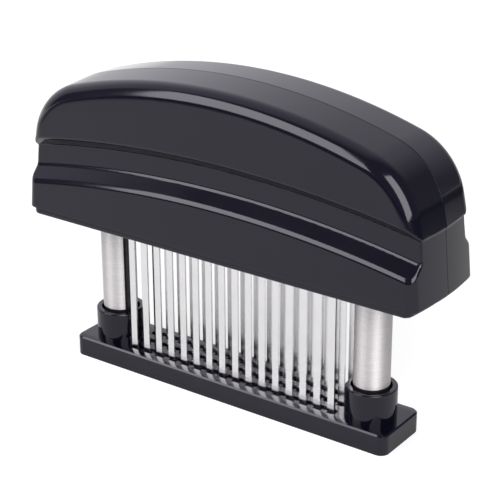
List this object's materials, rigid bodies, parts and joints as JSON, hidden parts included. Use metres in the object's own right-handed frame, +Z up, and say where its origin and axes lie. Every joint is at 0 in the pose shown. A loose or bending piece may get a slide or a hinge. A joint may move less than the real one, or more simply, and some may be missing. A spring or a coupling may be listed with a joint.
{
  "type": "blade meat tenderizer",
  "caption": "Hand-press meat tenderizer: domed handle slides down two sprung steel columns and drives rows of blades through a slotted base.",
  "frame": {"origin": "centre of the base plate's underside, which is the bottom centre of the whole tool at rest", "axes": "+X along the tool, -Y towards the front (the side without screws), +Z up along the columns"},
  "size_m": [0.154, 0.036, 0.1093],
  "materials": {
    "handle_gloss": "glossy black moulded ABS with a soft polish",
    "base_plastic": "glossy black moulded ABS",
    "core_plastic": "satin black moulded nylon",
    "brushed_sleeve": "stainless sheet brushed round the column",
    "blade_steel": "stamped stainless strip, ground along its length",
    "spring_steel": "drawn stainless wire",
    "screw_zinc": "bright zinc plated steel"
  },
  "bodies": {
    "base": {"base_plate": "base_plastic", "column_core_left": "core_plastic", "column_core_right": "core_plastic", "column_sleeve_left": "brushed_sleeve", "column_sleeve_right": "brushed_sleeve", "base_screws": "screw_zinc", "return_spring_left": "spring_steel", "return_spring_right": "spring_steel", "stop_ring_left": "spring_steel", "stop_ring_right": "spring_steel"},
    "handle": {"handle_front_shell": "handle_gloss", "handle_rear_shell": "handle_gloss", "handle_screws": "screw_zinc", "guide_bush_left": "core_plastic", "guide_bush_right": "core_plastic", "spring_cap_left": "core_plastic", "spring_cap_right": "core_plastic", "blade_comb_front": "blade_steel", "blade_comb_middle": "blade_steel", "blade_comb_rear": "blade_steel", "blade_spacer_front": "core_plastic", "blade_spacer_rear": "core_plastic", "blade_clamp_front": "core_plastic", "blade_clamp_rear": "core_plastic", "blade_bolts": "screw_zinc", "blade_nuts": "screw_zinc"}
  },
  "joints": [
    {"name": "press", "type": "slide", "parent": "base", "child": "handle", "axis": [0, 0, 1], "range_m": [-0.031, 0], "stiffness_N_per_m": 700, "springref_m": 0.012, "deforming": ["return_spring_left", "return_spring_right"]}
  ]
}
